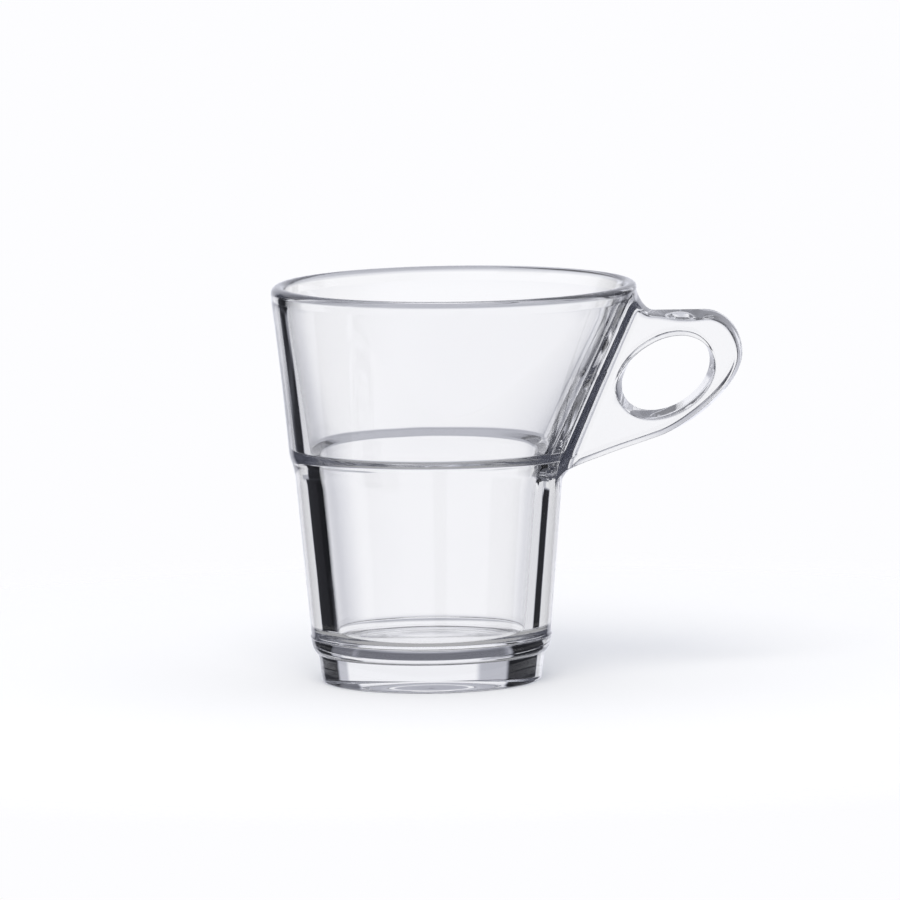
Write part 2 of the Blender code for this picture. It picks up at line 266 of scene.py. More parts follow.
def cup_profile():
    """Closed (radius, height) profile of the whole cup wall: a quartic hollow under the foot, straight runs
    with rounded corners up the foot, part of an oval round the heel, the lower wall, shoulder and upper wall
    up to the rim, and straight runs with rounded corners down the inside to the middle of the floor."""
    t = np.linspace(0.0, 1.0, HOLLOW_STEPS, endpoint=False)
    hollow = np.column_stack([HOLLOW_RADIUS * t, HOLLOW_DEPTH * (1.0 - t**2) ** 2])
    foot = rounded_path(
        [
            (HOLLOW_RADIUS, 0.0, 0.0),
            (FOOT_REST_RADIUS, 0.0, FOOT_CORNER),
            (FOOT_RADIUS, FOOT_Z, FOOT_TOP_CORNER),
            (FOOT_RADIUS + FOOT_TOP_OUT, FOOT_Z + FOOT_TOP_UP, 0.0),
        ]
    )
    turn = np.radians(np.linspace(*HEEL_TURN, HEEL_STEPS))
    heel_radius = HEEL_MIDDLE[0] + HEEL_ROUND[0] * np.cos(turn)
    heel_z = HEEL_MIDDLE[1] + HEEL_ROUND[1] * np.sin(turn)
    heel = np.column_stack([heel_radius, heel_z])
    seam_top = SEAM_Z + SEAM_HEIGHT
    shoulder_low = STEP_Z - SHOULDER_DROP
    lower = rounded_path(
        [
            (*heel[-1], 0.0),
            (HEEL_RADIUS + SEAM_PROUD, SEAM_Z, SEAM_CORNER),
            (lower_radius(seam_top), seam_top, SEAM_TOP_CORNER),
            (LOWER_TOP_RADIUS - LOWER_END_IN, shoulder_low - LOWER_END_DROP, 0.0),
        ]
    )
    base = np.concatenate([foot[:-1], heel[:-1], lower])
    shoulder_z = np.linspace(shoulder_low - SHOULDER_LEAD, STEP_Z - STEP_EASE, SHOULDER_STEPS)
    shoulder = np.column_stack([outside_radius(shoulder_z), shoulder_z])
    wall_z = np.linspace(STEP_Z + WALL_RUN, WALL_TOP_Z, WALL_STEPS)
    wall_z = np.concatenate([[STEP_Z + start for start in WALL_STARTS], wall_z])
    wall = np.column_stack([upper_radius(wall_z), wall_z])
    lip_radius = upper_radius(LIP_Z) - LIP_WALL
    rim = rounded_path(
        [
            (wall[-1][0], wall[-1][1], 0.0),
            (RIM_RADIUS + RIM_OUT, RIM_Z, RIM_CORNERS[0]),
            (RIM_RADIUS - LIP_WALL + RIM_IN, RIM_Z, RIM_CORNERS[1]),
            (lip_radius, LIP_Z, 0.0),
        ]
    )[1:]
    inside = rounded_path(
        [
            (lip_radius, LIP_Z, 0.0),
            (upper_radius(LEDGE_OUTER_Z) - LEDGE_WALL, LEDGE_OUTER_Z, LEDGE_CORNERS[0]),
            (lower_radius(LEDGE_Z) - LOWER_WALL, LEDGE_Z, LEDGE_CORNERS[1]),
            (lower_radius(FLOOR_Z) - LOWER_WALL, FLOOR_Z, FLOOR_FILLET),
            (0.0, FLOOR_Z, 0.0),
        ]
    )[1:]
    return np.concatenate([hollow, base, shoulder, wall, rim, inside])


def new_object(name, points, faces):
    """Make an object at the origin from points in millimetres and faces of three or four corners, with its
    faces turned outwards by the sign of its volume."""
    points = np.asarray(points, float).reshape(-1, 3) * MM
    corners = [np.asarray(face, np.int32).reshape(-1, count) for face, count in faces]
    volume = 0.0
    for face in corners:
        for k in range(1, face.shape[1] - 1):
            a, b, c = points[face[:, 0]], points[face[:, k]], points[face[:, k + 1]]
            volume += np.einsum("ij,ij->", a, np.cross(b, c))
    if volume < 0.0:
        corners = [face[:, ::-1] for face in corners]
    mesh = bpy.data.meshes.new(name)
    mesh.vertices.add(len(points))
    mesh.vertices.foreach_set("co", points.astype(np.float32).ravel())
    totals = np.concatenate([np.full(len(face), face.shape[1], np.int32) for face in corners])
    starts = np.concatenate([[0], np.cumsum(totals)[:-1]]).astype(np.int32)
    loops = np.concatenate([face.ravel() for face in corners])
    mesh.loops.add(len(loops))
    mesh.loops.foreach_set("vertex_index", loops)
    mesh.polygons.add(len(totals))
    mesh.polygons.foreach_set("loop_start", starts)
    mesh.polygons.foreach_set("loop_total", totals)
    mesh.update(calc_edges=True)
    mesh.validate()
    item = bpy.data.objects.new(name, mesh)
    bpy.context.scene.collection.objects.link(item)
    return item


def ring_quads(rings, around, closed):
    """Corner indices of the quads between neighbouring rings of points, and back to the first if closed."""
    ring = np.arange(rings if closed else rings - 1)[:, None]
    step = np.arange(around)[None, :]
    above, beside = (ring + 1) % rings, (step + 1) % around
    quads = [ring * around + step, ring * around + beside, above * around + beside, above * around + step]
    return np.stack(np.broadcast_arrays(*quads), axis=-1).reshape(-1, 4)


def make_bowl():
    """Turn the profile about an axis that leans above the step: (axis + r cos a, r sin a, z)."""
    profile = cup_profile()
    rings = profile[1:-1]
    angle = np.arange(TURN_STEPS) * math.tau / TURN_STEPS
    r, z = rings[:, :1], rings[:, 1:]
    x = FOOT_AXIS_X + axis_x(z) + r * np.cos(angle)
    y = r * np.sin(angle)
    skin = np.stack([x, y, np.broadcast_to(z, x.shape)], axis=-1).reshape(-1, 3)
    poles = [[FOOT_AXIS_X + axis_x(z_pole), 0.0, z_pole] for z_pole in (profile[0][1], profile[-1][1])]
    points = np.concatenate([skin, poles])
    count = len(rings)
    step = np.arange(TURN_STEPS)
    beside = (step + 1) % TURN_STEPS
    low = np.stack([np.full(TURN_STEPS, len(skin)), beside, step], axis=-1)
    last = (count - 1) * TURN_STEPS
    high = np.stack([np.full(TURN_STEPS, len(skin) + 1), last + step, last + beside], axis=-1)
    return new_object("bowl", points, [(ring_quads(count, TURN_STEPS, False), 4), (low, 3), (high, 3)])


def straight(start, end, count):
    """Points along a straight line, without its last point."""
    return np.linspace(start, end, count, endpoint=False)


def bezier(points, count):
    """Cubic curve through four control points, without its last point."""
    t = (np.arange(count) / count)[:, None]
    a, b, c, d = np.asarray(points, float)
    return (1 - t) ** 3 * a + 3 * t * (1 - t) ** 2 * b + 3 * t**2 * (1 - t) * c + t**3 * d


def wall_x(z):
    """Outward place of the cup's outside in the handle's middle plane."""
    return axis_x(z) + outside_radius(z)


def along_runs(runs, stops):
    """Values that go evenly from stop to stop over the points of each run."""
    rows = [straight(start, end, len(run)) for run, start, end in zip(runs, stops, stops[1:])]
    return np.concatenate(rows)


def handle_loop():
    """Closed outline of the handle in its middle plane, before its two roots are drawn out along the wall:
    from inside the wall along the thumb rest, round the loop, back into the lower bowl and up inside the
    wall. The other results are how soft the faces' edges are along it, the bearing of the place on the finger
    hole that each point is joined to, and how many of the points lie on the free edge."""
    top = (wall_x(THUMB_Z) - ROOT_DEPTH, THUMB_Z)
    low = (wall_x(LOW_ROOT_Z) - ROOT_DEPTH, LOW_ROOT_Z)
    back_z = np.linspace(LOW_ROOT_Z, THUMB_Z, BACK_POINTS)[1:-1]
    runs = [
        straight(top, REST_START, REST_POINTS[0]),
        straight(REST_START, LOOP_TOP[0], REST_POINTS[1]),
        bezier(LOOP_TOP, LOOP_POINTS[0]),
        bezier(LOOP_SIDE, LOOP_POINTS[1]),
        bezier(LOW_EDGE, LOOP_POINTS[2]),
        straight(LOW_EDGE[-1], low, LOOP_POINTS[3]),
        np.column_stack([wall_x(back_z) - ROOT_DEPTH, back_z]),
    ]
    free_count = sum(len(run) for run in runs[:-1])
    bearing = np.radians(along_runs(runs, RUN_BEARING))
    return np.concatenate(runs), along_runs(runs, RUN_SOFT), bearing, free_count


def draw_out_roots(points):
    """Stretch the handle along the wall at its two roots: up to the rim in a hollow sweep and down in a short
    one. The stretch depends on the distance from the wall and fades with the square of the depth under the
    edge."""
    x, z = points[..., 0], points[..., 1]
    gap = x - wall_x(z)
    sweep = bezier(ROOT_SWEEP, SWEEP_POINTS)
    rise = np.interp(gap, sweep[:, 0] - wall_x(sweep[:, 1]), sweep[:, 1] - THUMB_Z, right=0.0)
    near = np.clip((LOW_SWEEP - gap) / (LOW_SWEEP + LOW_SINK), 0.0, LOW_TURN)
    fall = LOW_DROP * (1.0 - np.sqrt(1.0 - near**2))
    edge_z = LOW_EDGE_Z + LOW_SLOPE * (x - LOW_EDGE[-1][0])
    rise = rise * np.clip(1.0 - (THUMB_Z - z) / RISE_DEPTH, 0.0, 1.0) ** 2
    fall = fall * np.clip(1.0 - (z - edge_z) / FALL_DEPTH, 0.0, 1.0) ** 2
    z = z + rise - fall
    return np.stack([gap + wall_x(z), z], axis=-1)


def settle(values):
    """Smooth a closed row of values with a raised-cosine window."""
    window = np.hanning(SETTLE + 2)[1:-1]
    window = window / window.sum()
    wrapped = np.concatenate([values[-SETTLE:], values, values[:SETTLE]])
    return np.convolve(wrapped, window, mode="same")[SETTLE:-SETTLE]


def finger_hole(bearing):
    """Points of the tilted oval finger hole at given bearings from its middle: r = ab / |(b cos, a sin)|."""
    across = bearing - HOLE_TILT
    reach = HOLE_LONG * HOLE_SHORT / np.hypot(HOLE_SHORT * np.cos(across), HOLE_LONG * np.sin(across))
    return np.asarray(HOLE_CENTRE) + reach[:, None] * np.column_stack([np.cos(bearing), np.sin(bearing)])


def hole_draft(oval):
    """Draft of the finger hole's wall along its oval: full where the wall looks up or sideways, and less
    where it looks down, by the upward share of the oval's outward direction."""
    run = np.gradient(oval, axis=0)
    upward = -run[:, 0] / np.hypot(run[:, 0], run[:, 1])
    return HANDLE_DRAFT + (HOLE_TOP_DRAFT - HANDLE_DRAFT) * smooth(upward, *HOLE_TOP_TURN)


def from_edge(points, line, *values):
    """Distance of points from an edge drawn as short straight pieces, and the values at the nearest place."""
    run = np.diff(line, axis=0)
    offset = points[:, None, :] - line[:-1]
    share = np.einsum("pij,ij->pi", offset, run) / np.einsum("ij,ij->i", run, run)
    share = np.clip(share, 0.0, 1.0)
    far = np.linalg.norm(offset - share[..., None] * run, axis=-1)
    piece = far.argmin(axis=1)
    row = np.arange(len(points))
    share = share[row, piece]
    return far[row, piece], [value[piece] * (1.0 - share) + value[piece + 1] * share for value in values]


def edge_rise(far, draft, soft):
    """Share of the full height at a distance from an edge: a straight drafted wall, then a quadratic curve
    that is tangent to the wall and to the flat face."""
    wall = 1.0 - soft / np.hypot(draft, HANDLE_HALF)
    lean = draft * (1.0 - wall)
    past = np.maximum(far - draft * wall, 0.0)
    along = (np.sqrt(lean**2 + (soft - lean) * past) - lean) / (soft - lean)
    rounded = 1.0 - (1.0 - wall) * (1.0 - np.clip(along, 0.0, 1.0)) ** 2
    return np.where(far < draft * wall, far / np.maximum(draft, 1e-6), rounded)


def outline_draft(loop, outline):
    """Draft of the outer edge along the outline: none inside the wall, less at the root end of the thumb rest
    and along the low edge, and more in the thumb rest's scoop, which is a bell curve."""
    free = smooth(outline[:, 0] - wall_x(outline[:, 1]), *FREE_GAP)
    on_rest = loop[:, 1] > THUMB_Z - REST_BAND
    scoop = SCOOP_INSET * np.exp(-(((loop[:, 0] - SCOOP_X) / SCOOP_REACH) ** 2)) * on_rest
    steep = np.where(loop[:, 1] < HOLE_CENTRE[1], 1.0 - smooth(loop[:, 0], *LOW_DRAFT_X), 0.0)
    rest = np.where(on_rest, 1.0 - smooth(loop[:, 0], *REST_DRAFT_X), 0.0)
    draft = HANDLE_DRAFT + scoop + (REST_DRAFT - HANDLE_DRAFT) * rest
    return draft * free * (1.0 - (1.0 - LOW_DRAFT_SHARE) * steep)


def make_handle():
    """Loop handle as a height over a net of strips, each from the outline to the finger hole, mirrored to the
    far side. The height comes from the distance to both edges, and towards the bowl the faces flare out by a
    quarter circle and follow the bowl's curve, which is the root's fillet."""
    loop, soft, bearing, free_count = handle_loop()
    count = len(loop)
    turn = settle(np.append(np.diff(bearing), bearing[0] - bearing[-1] - math.tau))
    bearing = bearing[0] + np.concatenate([[0.0], np.cumsum(turn)[:-1]])
    hole = finger_hole(bearing)
    tangent = np.roll(loop, -1, axis=0) - np.roll(loop, 1, axis=0)
    inward = np.column_stack([tangent[:, 1], -tangent[:, 0]]) / np.linalg.norm(tangent, axis=1, keepdims=True)
    length = np.linalg.norm(hole - loop, axis=1)
    strip = (hole - loop) / length[:, None]
    slant = settle(np.clip(np.einsum("ij,ij->i", strip, inward), SLANT_LEAST, 1.0))

    outline = draw_out_roots(loop)
    draft = outline_draft(loop, outline)
    steps = np.concatenate([WALL_ROWS, np.linspace(0.0, 1.0, ROUND_ROWS) ** 2 + 1.0])
    up_wall, over_edge = np.minimum(steps, 1.0), np.maximum(steps - 1.0, 0.0)
    wall_in = (WALL_SHARE * settle(draft) + WALL_MARGIN)[:, None] * up_wall
    turn_in = (settle(soft) + ROUND_MARGIN * settle(draft))[:, None] * over_edge
    out_in = (wall_in + turn_in) / slant[:, None]
    out_in *= np.minimum(OUTER_MOST * length / out_in[:, -1], 1.0)[:, None]
    around = np.linspace(0.0, math.tau, HOLE_STEPS)
    oval = finger_hole(around)
    oval_draft = hole_draft(oval)
    hole_wall = np.interp(bearing, around, oval_draft, period=math.tau)[:, None]
    hole_in = hole_wall * (WALL_SHARE * up_wall + HOLE_ROUND_SHARE * HOLE_SOFT / HANDLE_DRAFT * over_edge)
    hole_in = hole_in * np.minimum(HOLE_MOST * length / hole_in[:, -1], HOLE_STRETCH)[:, None]
    share = (np.arange(1, MIDDLE_ROWS + 1) / (MIDDLE_ROWS + 1))[None, :] ** MIDDLE_CROWD
    inner_in = length[:, None] - hole_in[:, ::-1]
    middle_in = out_in[:, -1:] + (inner_in[:, :1] - out_in[:, -1:]) * share
    along = np.hstack([out_in, middle_in, inner_in])
    flat = draw_out_roots(loop[:, None, :] + strip[:, None, :] * along[:, :, None])

    points = flat.reshape(-1, 2)
    far, (draft, soft) = from_edge(points, outline[:free_count], draft[:free_count], soft[:free_count])
    rise = edge_rise(far, draft, soft)
    far, (draft,) = from_edge(points, oval, oval_draft)
    rise *= edge_rise(far, draft, HOLE_SOFT / HANDLE_DRAFT * draft)
    up = HANDLE_HALF * rise.reshape(flat.shape[:2])
    up[:, 0] = up[:, -1] = 0.0

    x, z = flat[..., 0], flat[..., 1]
    slope = np.where(z > STEP_Z, FLARE + LEAN, LOW_ROOT_SLOPE)
    gap = (x - wall_x(z)) / np.hypot(1.0, slope)
    near = np.clip((ROOT_FILLET - gap) / (ROOT_FILLET + ROOT_SINK), 0.0, ROOT_TURN)
    flare = ROOT_FILLET * (1.0 - np.sqrt(1.0 - near**2))
    up = up * (1.0 + flare / HANDLE_HALF)
    radius = outside_radius(z)
    x = x - (1.0 - smooth(gap, *ROOT_BEND)) * (radius - np.sqrt(radius**2 - up**2))
    near_face = np.stack([FOOT_AXIS_X + x, -up, z], axis=-1)
    far_face = np.stack([FOOT_AXIS_X + x, up, z], axis=-1)[:, -2:0:-1]
    ring = np.concatenate([near_face, far_face], axis=1)
    quads = ring_quads(count, ring.shape[1], True)
    return new_object("handle_loop", ring, [(quads, 4)])


def join_glass(bowl, handle):
    """Melt the handle's root into the bowl's wall and keep only the outer skin of the two."""
    melt = bowl.modifiers.new("melt", "BOOLEAN")
    melt.operation = "UNION"
    melt.solver = "MANIFOLD"
    melt.object = handle
    skin = bpy.data.meshes.new_from_object(bowl.evaluated_get(bpy.context.evaluated_depsgraph_get()))
    skin.name = "cup_glass"
    for item in (bowl, handle):
        mesh = item.data
        bpy.data.objects.remove(item, do_unlink=True)
        bpy.data.meshes.remove(mesh)
    cup = bpy.data.objects.new("cup_glass", skin)
    bpy.context.scene.collection.objects.link(cup)
    skin.shade_smooth()
    return cup


def set_inputs(node, values):
    """Set a node's sockets, by their names, to constant values."""
    for name, value in values.items():
        node.inputs[name].default_value = value


# Glass: a ripple left by the mould, a polish that is a little uneven, and a tint that deepens in thick parts
CLEAR_GLASS = {"Transmission Weight": 1.0, "IOR": 1.5}
RIPPLE = {"Scale": 95.0, "Detail": 1.0}
RIPPLE_BUMP = {"Strength": 1.0, "Distance": 0.00002}
POLISH = {"Scale": 260.0, "Detail": 3.0}
HAZE = {"From Min": 0.35, "From Max": 0.75, "To Min": 0.0, "To Max": 0.03}
TINT = {"A": (0.986, 0.987, 0.994, 1.0), "B": (0.994, 0.995, 0.999, 1.0)}
THICK_TINT = {"Color": (0.88, 0.89, 0.93, 1.0), "Density": 12.0}
SHADOW_TINT = {"Color": (0.72, 0.74, 0.78, 1.0)}


def pressed_glass():
    """Clear pressed glass: faint mould ripple, slightly uneven polish and a trace of cool tint in thick
    parts. Its shadow is a pale tinted one, as glass casts."""
    material = bpy.data.materials.new("pressed_glass")
    material.use_nodes = True
    nodes, links = material.node_tree.nodes, material.node_tree.links
    shader = nodes["Principled BSDF"]
    output = nodes["Material Output"]
    set_inputs(shader, CLEAR_GLASS)
    place = nodes.new("ShaderNodeTexCoord")

    ripple = nodes.new("ShaderNodeTexNoise")
    set_inputs(ripple, RIPPLE)
    links.new(place.outputs["Object"], ripple.inputs["Vector"])
    bump = nodes.new("ShaderNodeBump")
    set_inputs(bump, RIPPLE_BUMP)
    links.new(ripple.outputs["Fac"], bump.inputs["Height"])
    links.new(bump.outputs["Normal"], shader.inputs["Normal"])

    polish = nodes.new("ShaderNodeTexNoise")
    set_inputs(polish, POLISH)
    links.new(place.outputs["Object"], polish.inputs["Vector"])
    haze = nodes.new("ShaderNodeMapRange")
    set_inputs(haze, HAZE)
    links.new(polish.outputs["Fac"], haze.inputs["Value"])
    links.new(haze.outputs["Result"], shader.inputs["Roughness"])

    tint = nodes.new("ShaderNodeMix")
    tint.data_type = "RGBA"
    set_inputs(tint, TINT)
    links.new(ripple.outputs["Fac"], tint.inputs["Factor"])
    links.new(tint.outputs["Result"], shader.inputs["Base Color"])

    depth = nodes.new("ShaderNodeVolumeAbsorption")
    set_inputs(depth, THICK_TINT)
    links.new(depth.outputs["Volume"], output.inputs["Volume"])

    paths = nodes.new("ShaderNodeLightPath")
    through = nodes.new("ShaderNodeBsdfTransparent")
    set_inputs(through, SHADOW_TINT)
    blend = nodes.new("ShaderNodeMixShader")
    links.new(paths.outputs["Is Shadow Ray"], blend.inputs["Fac"])
    links.new(shader.outputs["BSDF"], blend.inputs[1])
    links.new(through.outputs["BSDF"], blend.inputs[2])
    links.new(blend.outputs["Shader"], output.inputs["Surface"])
    return material


def grey_ramp(nodes, stops):
    """Straight colour ramp through (place, grey level) stops."""
    node = nodes.new("ShaderNodeValToRGB")
    node.color_ramp.interpolation = "LINEAR"
    elements = node.color_ramp.elements
    while len(elements) < len(stops):
        elements.new(0.5)
    for element, (place, grey) in zip(elements, stops):
        element.position = place
        element.color = (grey, grey, grey, 1.0)
    return node


def middle_and_half(span):
    """Middle of a span of two values, and half its width."""
    return (span[0] + span[1]) / 2, (span[1] - span[0]) / 2


def math_node(nodes, links, operation, first, second=None):
    """Math node whose inputs are sockets or numbers."""
    node = nodes.new("ShaderNodeMath")
    node.operation = operation
    for socket, value in zip(node.inputs, (first, second)):
        if value is None:
            continue
        if isinstance(value, (int, float)):
            socket.default_value = value
        else:
            links.new(value, socket)
    return node.outputs[0]


# Colour of the studio where it is bright and where it is dim, and how far reflections keep to the bright one
WHITE = (0.983, 0.983, 1.0, 1.0)
COOL_GREY = (0.93, 0.955, 1.13, 1.0)
REFLECTED_WARMTH = 0.55

# Levels that the glass shows at an elevation in degrees: ahead through both walls, ahead through solid glass,
# the same after a turn inside the glass, and aside
LEVEL_CLEAR = [
    (-90, 0.5), (-50, 0.5), (-38, 0.5), (-25, 0.45), (-18, 0.5), (-15, 0.72), (-13, 0.86), (-11.5, 0.93),
    (-9.9, 1.0), (9, 1.0), (22, 0.8), (42, 0.62), (60, 0.9), (90, 1.0),
]
LEVEL_SOLID = [
    (-90, 0.45), (-50, 0.43), (-27, 0.52), (-22, 0.62), (-17, 0.76), (-12, 0.84), (-9, 0.92), (-6.6, 1.0),
    (3.5, 1.0), (4.8, 0.4), (5.8, 0.17), (13, 0.17), (21, 0.42), (30, 0.72), (60, 0.9), (90, 1.0),
]
LEVEL_SOLID_MIRRORED = [
    (-90, 0.45), (-50, 0.43), (-27, 0.52), (-22, 0.62), (-17, 0.78), (-12, 0.88), (-9, 0.96), (-6, 1.0),
    (14, 1.0), (20, 0.85), (27, 0.5), (45, 0.46), (60, 0.9), (90, 1.0),
]
LEVEL_ASIDE = [
    (-90, 0.5), (-42, 0.5), (-30, 0.85), (-12, 0.85), (-8, 0.9), (-6, 1.0), (6, 1.0), (22, 0.8), (42, 0.62),
    (60, 0.9), (90, 1.0),
]

# Bearings that count as ahead, from and to in degrees, and how softly they end
AHEAD = (-32.0, 32.0, 6.0)

# Share of the level that is left through both walls, by bearing from straight ahead, counted to the left
SIDE_SHADE = [
    (-180, 1.0), (-40, 1.0), (-32, 0.82), (-25, 0.82), (-21, 0.88), (-16, 0.97), (-12, 1.0), (9, 1.0),
    (12, 0.88), (15, 0.79), (19, 0.69), (25, 0.69), (32, 0.82), (40, 1.0), (180, 1.0),
]

# Grey and dark cards seen through solid glass, and one through both walls: bearing from straight ahead,
# counted to the left, and elevation, each from and to in degrees, and the card's level
CARDS = [
    (17.0, 33.0, -3.0, 4.5, 0.55),
    (-46.0, -37.0, -3.0, 4.5, 0.6),
    (-46.0, -30.0, 4.5, 30.0, 0.18),
    (24.5, 60.0, -12.8, -2.0, 0.01),
    (31.5, 62.0, -3.5, 30.0, 0.01),
    (21.5, 32.5, -14.5, -11.2, 0.01),
    (16.0, 35.5, -22.0, -13.4, 0.01),
    (-41.0, -26.5, -14.0, -3.0, 0.01),
    (-85.0, -45.0, -4.0, 30.0, 0.01),
    (69.5, 100.0, -45.0, -18.0, 0.01),
    (4.0, 18.0, -40.0, -24.0, 0.01),
    (114.5, 150.0, -16.0, 20.0, 0.01),
    (-115.0, -78.0, -30.0, -6.0, 0.01),
    (-176.0, -162.0, -30.0, 0.0, 0.01),
    (33.0, 42.0, -36.0, -25.0, 0.01),
    (-42.0, -33.0, -36.0, -27.0, 0.01),
]
CARDS_CLEAR = [
    (31.0, 46.0, -24.0, -15.4, 0.16),
]
CARD_EDGE = 1.5

# Depths of a ray that tell its way: any at all, solid glass only, two turns inside the glass, and trapped
ONCE = 0.5
SOLID_DEPTH = 3.5
INNER_DEPTH = 1.5
TRAPPED_DEPTH = 15.5

# Levels after two turns inside the glass, below the elevations where that opens, and of trapped light
INNER_MIRRORED = 0.13
INNER_OPEN = (42.0, 56.0)
TRAPPED = 0.13

# Reflections: the dark around, the elevations where the light overhead begins, and the white backdrop ahead
MIRRORED = 0.06
SOFTBOX = (10.0, 22.0)
BACKDROP = (-28.0, 28.0, 5.0)

# Even light on the floor, in the open and where it comes through glass
FILL = 0.715
FILL_THROUGH = 0.45

HALF_TURN = 180.0
FULL_TURN = 360.0
DEGREES = HALF_TURN / math.pi


def studio_world():
    """Pale surroundings as the glass shows them, by bearing and elevation. Through solid glass they shade off
    downward and carry grey and dark cards. Through both walls they shade off downward and to the sides, with
    one card. Light that has turned twice or more inside the glass is dim. Reflections are white ahead and
    overhead and dark elsewhere. Dim levels are cooler in colour. The camera itself sees plain white, and the
    floor is lit by an even pale fill."""
    world = bpy.data.worlds.new("studio")
    world.use_nodes = True
    nodes, links = world.node_tree.nodes, world.node_tree.links
    background = nodes["Background"]
    place = nodes.new("ShaderNodeTexCoord")
    axes = nodes.new("ShaderNodeSeparateXYZ")
    links.new(place.outputs["Generated"], axes.inputs[0])

    def work(operation, first, second=None):
        return math_node(nodes, links, operation, first, second)

    def share_of(angle, full):
        """Place of an angle on a ramp that runs over full degrees, with 0 in its middle."""
        return work("ADD", work("MULTIPLY", angle, 1.0 / full), 0.5)

    left = work("MULTIPLY", axes.outputs["X"], -1.0)
    bearing = work("MULTIPLY", work("ARCTAN2", left, axes.outputs["Y"]), DEGREES)
    height = work("MULTIPLY", work("ARCSINE", axes.outputs["Z"]), DEGREES)
    height_share = share_of(height, HALF_TURN)
    bearing_share = share_of(bearing, FULL_TURN)

    def past(value, edge, soft):
        """Ease from 0 to 1 across an edge, over soft degrees to each side."""
        node = nodes.new("ShaderNodeMapRange")
        node.interpolation_type = "SMOOTHSTEP"
        set_inputs(node, {"From Min": edge - soft, "From Max": edge + soft})
        links.new(value, node.inputs["Value"])
        return node.outputs["Result"]

    def within(value, start, end, soft):
        """1 between two edges and 0 outside them."""
        return work("SUBTRACT", past(value, start, soft), past(value, end, soft))

    def curve(stops, share=height_share, full=HALF_TURN):
        """Level by elevation, or by another angle that runs over full degrees."""
        node = grey_ramp(nodes, [(degrees / full + 0.5, level) for degrees, level in stops])
        links.new(share, node.inputs["Fac"])
        return node.outputs["Color"]

    def mixed(share, first, second):
        """First level, or the second where the share is 1."""
        node = nodes.new("ShaderNodeMix")
        node.data_type = "FLOAT"
        for name, value in (("Factor", share), ("A", first), ("B", second)):
            if isinstance(value, float):
                node.inputs[name].default_value = value
            else:
                links.new(value, node.inputs[name])
        return node.outputs["Result"]

    def with_cards(level, cards):
        """The level with every card laid over it in turn."""
        for start, end, low, high, grey in cards:
            wide = within(bearing, start, end, CARD_EDGE)
            tall = within(height, low, high, CARD_EDGE)
            level = mixed(work("MULTIPLY", wide, tall), level, grey)
        return level

    paths = nodes.new("ShaderNodeLightPath")

    def deeper(kind, depth):
        """1 where a ray's depth of a kind is past a depth."""
        return work("GREATER_THAN", paths.outputs[kind], depth)

    ahead = within(bearing, *AHEAD)
    aside = curve(LEVEL_ASIDE)
    clear_level = mixed(ahead, aside, curve(LEVEL_CLEAR))
    clear_level = work("MULTIPLY", clear_level, curve(SIDE_SHADE, bearing_share, FULL_TURN))
    clear_level = with_cards(clear_level, CARDS_CLEAR)
    mirrored = deeper("Glossy Depth", ONCE)
    solid_ahead = mixed(mirrored, curve(LEVEL_SOLID), curve(LEVEL_SOLID_MIRRORED))
    solid_level = with_cards(mixed(ahead, aside, solid_ahead), CARDS)
    solid = work("LESS_THAN", paths.outputs["Transmission Depth"], SOLID_DEPTH)
    level = mixed(solid, clear_level, solid_level)

    shut = work("SUBTRACT", 1.0, past(height, *middle_and_half(INNER_OPEN)))
    inner = work("MULTIPLY", deeper("Glossy Depth", INNER_DEPTH), shut)
    level = mixed(inner, level, work("MULTIPLY", level, INNER_MIRRORED))
    level = mixed(deeper("Glossy Depth", TRAPPED_DEPTH), level, TRAPPED)

    overhead = past(height, *middle_and_half(SOFTBOX))
    around = work("MAXIMUM", overhead, within(bearing, *BACKDROP))
    level = mixed(paths.outputs["Is Reflection Ray"], level, work("MAXIMUM", around, MIRRORED))
    fill = mixed(deeper("Transmission Depth", ONCE), FILL, FILL_THROUGH)
    onto_floor = deeper("Diffuse Depth", ONCE)
    level = mixed(onto_floor, level, fill)
    level = mixed(paths.outputs["Is Camera Ray"], level, 1.0)

    tone = nodes.new("ShaderNodeMix")
    tone.data_type = "RGBA"
    set_inputs(tone, {"A": COOL_GREY, "B": WHITE})
    warmth = mixed(paths.outputs["Is Reflection Ray"], 1.0, REFLECTED_WARMTH)
    links.new(work("MAXIMUM", work("MULTIPLY", level, warmth), onto_floor), tone.inputs["Factor"])
    links.new(tone.outputs["Result"], background.inputs["Color"])
    links.new(level, background.inputs["Strength"])
    bpy.context.scene.world = world


# Floor: its radius in metres, its drop under the foot in millimetres, how finely it is drawn, where it fades
# out in metres, and how the glass shows it
FLOOR_RADIUS = 0.20
FLOOR_DROP = 0.05
FLOOR_RINGS = 11
FLOOR_STEPS = 96
FLOOR_FADE = (0.10, 0.18)
FLOOR_FADE_THROUGH = (0.033, 0.038)
FLOOR_GLOW = 1.0
FLOOR_GLOW_MIRRORED = 0.43
FLOOR_COLOUR = (0.93, 0.935, 0.95, 1.0)


def floor_disc():
    """Round floor just under the foot: rings of points out from the middle."""
    radii = np.linspace(0.0, FLOOR_RADIUS / MM, FLOOR_RINGS + 1)[1:]
    step = np.arange(FLOOR_STEPS)
    angle = step * math.tau / FLOOR_STEPS
    x = FOOT_AXIS_X + radii[:, None] * np.cos(angle)
    y = radii[:, None] * np.sin(angle)
    points = np.stack([x, y, np.full(x.shape, -FLOOR_DROP)], axis=-1).reshape(-1, 3)
    points = np.concatenate([points, [[FOOT_AXIS_X, 0.0, -FLOOR_DROP]]])
    fan = np.stack([np.full(FLOOR_STEPS, len(points) - 1), step, (step + 1) % FLOOR_STEPS], axis=-1)
    return new_object("floor", points, [(ring_quads(FLOOR_RINGS, FLOOR_STEPS, False), 4), (fan, 3)])


